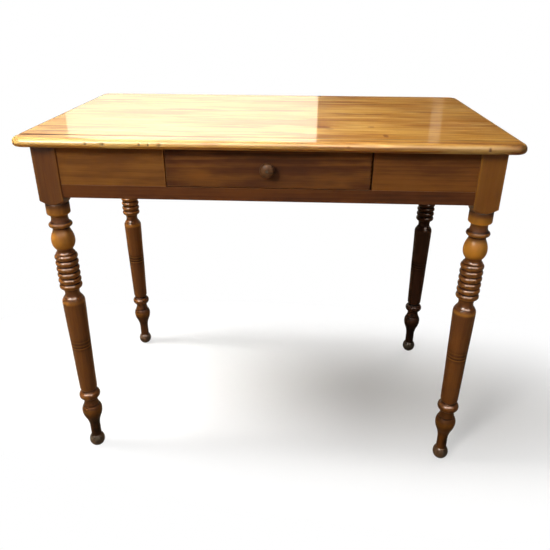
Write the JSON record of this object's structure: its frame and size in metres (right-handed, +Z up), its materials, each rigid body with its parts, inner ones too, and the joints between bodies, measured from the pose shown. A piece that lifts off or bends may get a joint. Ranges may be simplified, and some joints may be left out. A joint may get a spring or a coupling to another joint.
{
  "type": "table with drawer",
  "caption": "Wooden side table with a rounded boarded top, turned legs with ball feet, and a frieze drawer with a turned knob.",
  "frame": {"origin": "on the floor under the middle of the top", "axes": "+Z up, +X along the length of the table, the front with the drawer faces -Y"},
  "size_m": [0.914, 0.546, 0.74],
  "materials": {
    "top_wood": "glossy amber shellac over straight-grained softwood boards",
    "leg_wood": "satin red-brown stain, worn paler on the beads and grey on the feet",
    "frieze_wood": "satin brown stained softwood",
    "knob_wood": "dark satin turned wood",
    "inner_wood": "bare aged softwood",
    "fastener_steel": "dull aged steel"
  },
  "bodies": {
    "frame": {"top_board_front": "top_wood", "top_board_second": "top_wood", "top_board_third": "top_wood", "top_board_back": "top_wood", "leg_front_left": "leg_wood", "leg_front_right": "leg_wood", "leg_back_left": "leg_wood", "leg_back_right": "leg_wood", "front_rail": "frieze_wood", "front_panel_left": "frieze_wood", "front_panel_right": "frieze_wood", "side_apron_left": "frieze_wood", "side_apron_right": "frieze_wood", "back_apron": "frieze_wood", "drawer_runner_left": "inner_wood", "drawer_runner_right": "inner_wood", "drawer_guide_left": "inner_wood", "drawer_guide_right": "inner_wood", "drawer_stops": "inner_wood", "fixing_blocks_left": "inner_wood", "fixing_blocks_right": "inner_wood", "top_screws": "fastener_steel"},
    "drawer": {"drawer_front": "frieze_wood", "drawer_side_left": "inner_wood", "drawer_side_right": "inner_wood", "drawer_back": "inner_wood", "drawer_bottom": "inner_wood", "drawer_bottom_nails": "fastener_steel", "drawer_knob": "knob_wood", "knob_screw": "fastener_steel"}
  },
  "joints": [
    {"name": "drawer_slide", "type": "slide", "parent": "frame", "child": "drawer", "axis": [0, -1, 0], "range_m": [0, 0.3]}
  ]
}
